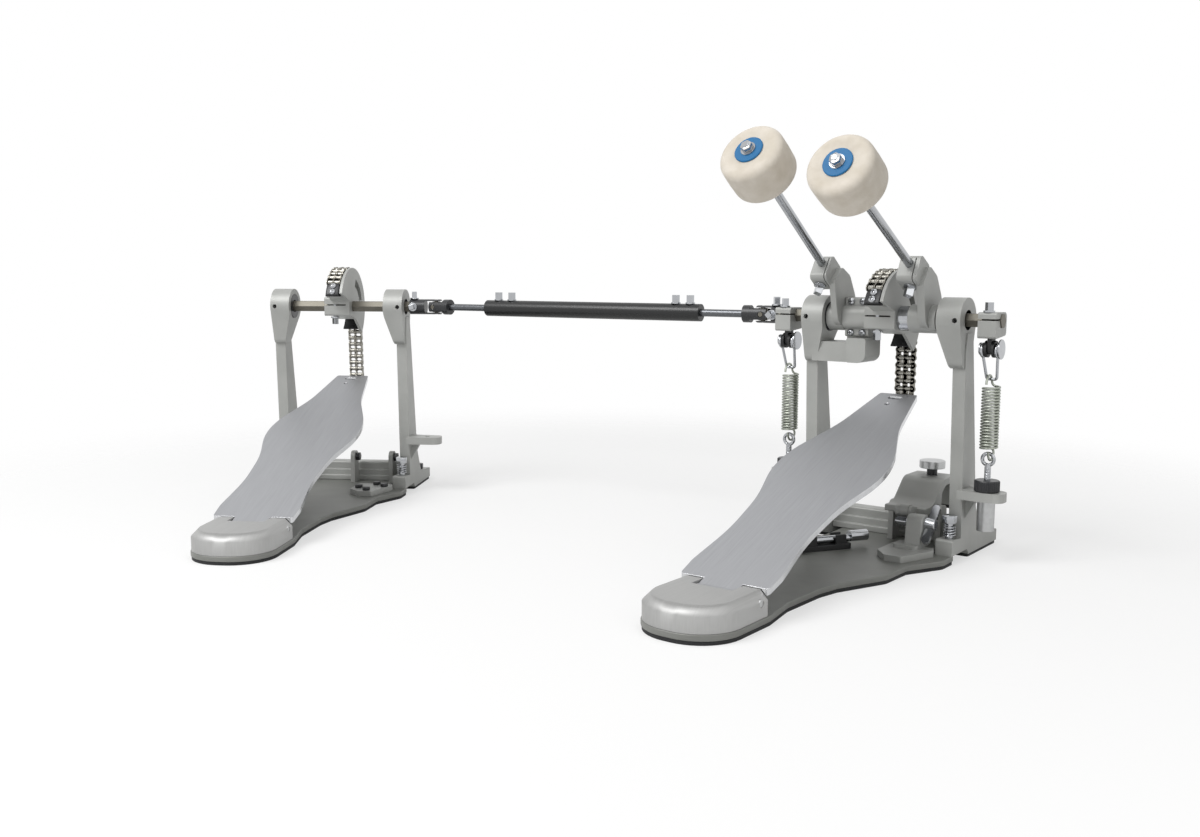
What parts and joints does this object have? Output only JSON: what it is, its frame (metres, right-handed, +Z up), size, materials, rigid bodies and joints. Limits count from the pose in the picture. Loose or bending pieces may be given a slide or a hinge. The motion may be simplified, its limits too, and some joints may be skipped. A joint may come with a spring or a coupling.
{
  "type": "double bass drum pedal",
  "caption": "Double bass drum pedal: a main and a remote chain-drive pedal joined by a drive shaft with universal joints, two sprung felt beaters and a hoop clamp.",
  "frame": {"origin": "on the floor under the middle of the main pedal's axle", "axes": "+X along the main axle to the drummer's right, +Y towards the drum, +Z up"},
  "size_m": [0.7304, 0.4515, 0.3264],
  "materials": {
    "casting": "grey hammered paint over a die casting",
    "brushed": "brushed along its length",
    "base_steel": "silver-grey powder coat",
    "mat_rubber": "matt ribbed rubber",
    "axle_steel": "ground steel",
    "plated": "bright nickel plate",
    "chain_steel": "nickel-plated chain",
    "black_steel": "black oxide",
    "felt": "pressed wool felt",
    "black_plastic": "moulded nylon"
  },
  "bodies": {
    "frame": {"base_plates": "base_steel", "floor_mats": "mat_rubber", "heel_blocks": "brushed", "heel_hinge_pins": "axle_steel", "main_left_post": "casting", "main_right_post": "casting", "slave_posts": "casting", "axle_bearings": "axle_steel", "centre_bearing_cap": "casting", "cross_beams": "casting", "right_spring": "plated", "left_spring": "plated", "spring_eye_bolts": "plated", "spring_knurled_nuts": "black_steel", "clamp_brackets": "casting", "clamp_hinge_bracket": "casting", "floor_spurs": "plated", "drum_key_clip": "black_plastic", "frame_screws": "black_steel"},
    "main_axle_set": {"main_axle": "axle_steel", "main_cam": "casting", "main_cam_lining": "mat_rubber", "main_cam_chain": "chain_steel", "right_beater_holder": "casting", "right_beater_felt": "felt", "right_beater_rod": "plated", "right_spring_lever": "casting", "main_key_bolts": "plated"},
    "slave_axle_set": {"slave_axle": "axle_steel", "slave_axle_yoke": "black_steel", "slave_cam": "casting", "slave_cam_lining": "mat_rubber", "slave_cam_chain": "chain_steel", "slave_key_bolts": "plated"},
    "left_axle_set": {"left_axle": "axle_steel", "left_axle_yoke": "black_steel", "left_beater_holder": "casting", "left_beater_felt": "felt", "left_beater_rod": "plated", "left_spring_lever": "casting", "left_key_bolts": "plated"},
    "drive_shaft": {"drive_yokes": "black_steel", "drive_rods": "axle_steel", "drive_tube": "black_steel", "drive_bolts": "plated"},
    "slave_cross": {"slave_joint_cross": "axle_steel"},
    "main_cross": {"main_joint_cross": "axle_steel"},
    "main_chain": {"main_chain_run": "chain_steel"},
    "slave_chain": {"slave_chain_run": "chain_steel"},
    "main_board": {"main_footboard": "brushed", "main_toe_anchor": "chain_steel"},
    "slave_board": {"slave_footboard": "brushed", "slave_toe_anchor": "chain_steel"},
    "right_hanger": {"right_spring_hanger": "plated"},
    "left_hanger": {"left_spring_hanger": "plated"},
    "hoop_clamp": {"hoop_clamp_rocker": "casting", "hoop_clamp_pad": "mat_rubber"},
    "wing_bolt": {"hoop_clamp_wing_bolt": "plated"},
    "clamp_knob": {"hoop_clamp_knob": "plated"},
    "drum_key": {"drum_key": "plated"}
  },
  "joints": [
    {"name": "main_swing", "type": "hinge", "parent": "frame", "child": "main_axle_set", "pos_m": [0, 0, 0.187], "axis": [-1, 0, 0], "range_deg": [0, 55], "stiffness_Nm_per_rad": 3},
    {"name": "slave_swing", "type": "hinge", "parent": "frame", "child": "slave_axle_set", "pos_m": [-0.5307, -0.1049, 0.187], "axis": [-0.848, -0.5299, 0], "range_deg": [0, 55]},
    {"name": "left_swing", "type": "hinge", "parent": "frame", "child": "left_axle_set", "pos_m": [0, 0, 0.187], "axis": [-1, 0, 0], "range_deg": [0, 53.58], "stiffness_Nm_per_rad": 3},
    {"name": "shaft_turn", "type": "hinge", "parent": "frame", "child": "drive_shaft", "pos_m": [-0.111, 0, 0.187], "axis": [-0.9877, -0.1566, 0], "range_deg": [0, 53.24]},
    {"name": "slave_cross_rock", "type": "hinge", "parent": "slave_axle_set", "child": "slave_cross", "pos_m": [-0.44844, -0.0535, 0.187], "axis": [0, 0, 1], "range_deg": [0, 9.81]},
    {"name": "main_cross_rock", "type": "hinge", "parent": "left_axle_set", "child": "main_cross", "pos_m": [-0.111, 0, 0.187], "axis": [0, 0, 1], "range_deg": [-4.07, 0]},
    {"name": "main_chain_bend", "type": "hinge", "parent": "main_axle_set", "child": "main_chain", "pos_m": [0, 0.03193, 0.20362], "axis": [-1, 0, 0], "range_deg": [-63.77, 0]},
    {"name": "slave_chain_bend", "type": "hinge", "parent": "slave_axle_set", "child": "slave_chain", "pos_m": [-0.54762, -0.07782, 0.20362], "axis": [-0.848, -0.5299, 0], "range_deg": [-62.8, 0]},
    {"name": "main_pedal", "type": "hinge", "parent": "frame", "child": "main_board", "pos_m": [0, -0.2465, 0.0168], "axis": [-1, 0, 0], "range_deg": [0, 6.94]},
    {"name": "slave_pedal", "type": "hinge", "parent": "frame", "child": "slave_board", "pos_m": [-0.40007, -0.31394, 0.0168], "axis": [-0.848, -0.5299, 0], "range_deg": [0, 6.94]},
    {"name": "right_hanger_lift", "type": "slide", "parent": "frame", "child": "right_hanger", "axis": [0, -0.8519, 0.5238], "range_m": [0, 0.01964], "deforming": ["right_spring"]},
    {"name": "left_hanger_lift", "type": "slide", "parent": "frame", "child": "left_hanger", "axis": [0, -0.8605, 0.5095], "range_m": [0, 0.019], "deforming": ["left_spring"]},
    {"name": "clamp_rock", "type": "hinge", "parent": "frame", "child": "hoop_clamp", "pos_m": [0, 0.019, 0.033], "axis": [-1, 0, 0], "range_deg": [0, 8]},
    {"name": "wing_bolt_turn", "type": "hinge", "parent": "frame", "child": "wing_bolt", "pos_m": [0, -0.017, 0.03], "axis": [-1, 0, 0], "range_deg": [0, 160.5]},
    {"name": "knob_turn", "type": "hinge", "parent": "hoop_clamp", "child": "clamp_knob", "pos_m": [0.024, 0.047, 0.06], "axis": [0, 0, 1], "continuous": true},
    {"name": "key_lift", "type": "slide", "parent": "frame", "child": "drum_key", "axis": [0, 0, 1], "range_m": [0, 0.03]}
  ],
  "couplings": [
    {"joint": "left_swing", "follows": "slave_swing", "ratio": 0.96517},
    {"joint": "shaft_turn", "follows": "slave_swing", "ratio": 0.95895},
    {"joint": "slave_cross_rock", "follows": "slave_swing", "ratio": 0.16933},
    {"joint": "main_cross_rock", "follows": "slave_swing", "ratio": -0.064893},
    {"joint": "main_chain_bend", "follows": "main_swing", "ratio": -1.1504},
    {"joint": "slave_chain_bend", "follows": "slave_swing", "ratio": -1.1327},
    {"joint": "main_pedal", "follows": "main_swing", "ratio": 0.12255},
    {"joint": "slave_pedal", "follows": "slave_swing", "ratio": 0.12255},
    {"joint": "right_hanger_lift", "follows": "main_swing", "m_per_rad": 0.020254},
    {"joint": "left_hanger_lift", "follows": "slave_swing", "m_per_rad": 0.019601},
    {"joint": "wing_bolt_turn", "follows": "clamp_rock", "ratio": 20}
  ]
}
